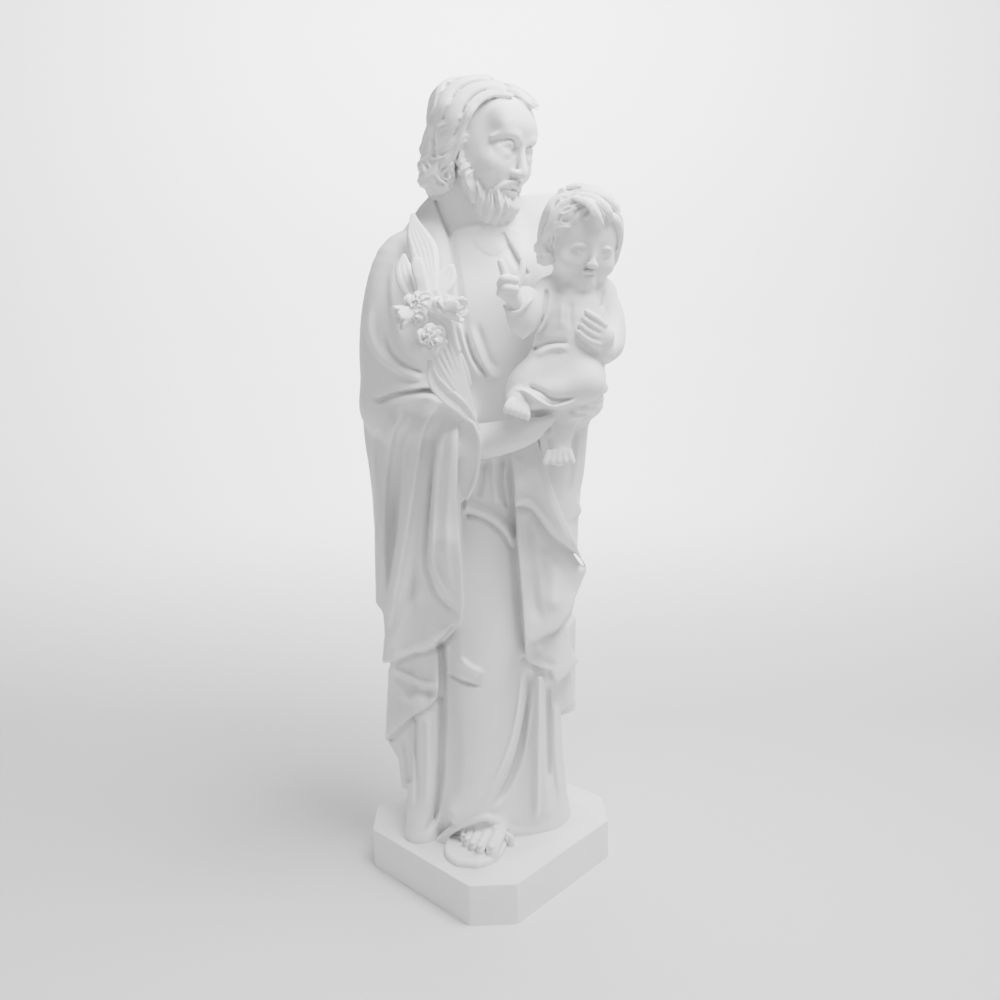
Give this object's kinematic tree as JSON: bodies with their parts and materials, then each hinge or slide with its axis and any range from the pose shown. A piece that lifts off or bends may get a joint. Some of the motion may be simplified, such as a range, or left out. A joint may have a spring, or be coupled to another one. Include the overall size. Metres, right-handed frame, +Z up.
{
  "type": "saint joseph statue",
  "caption": "White cast statue of a robed, bearded saint holding a child and a lily stem, standing in one piece on a square plinth with cut corners.",
  "frame": {"origin": "centre of the plinth's flat underside", "axes": "+Z up, X and Y along the plinth's sides; the figure looks across the cut corner at -X -Y"},
  "size_m": [0.226, 0.2697, 0.7987],
  "materials": {
    "white_resin": "unpainted matte white cast resin with marble powder"
  },
  "bodies": {
    "root": {"statue": "white_resin"}
  },
  "joints": []
}
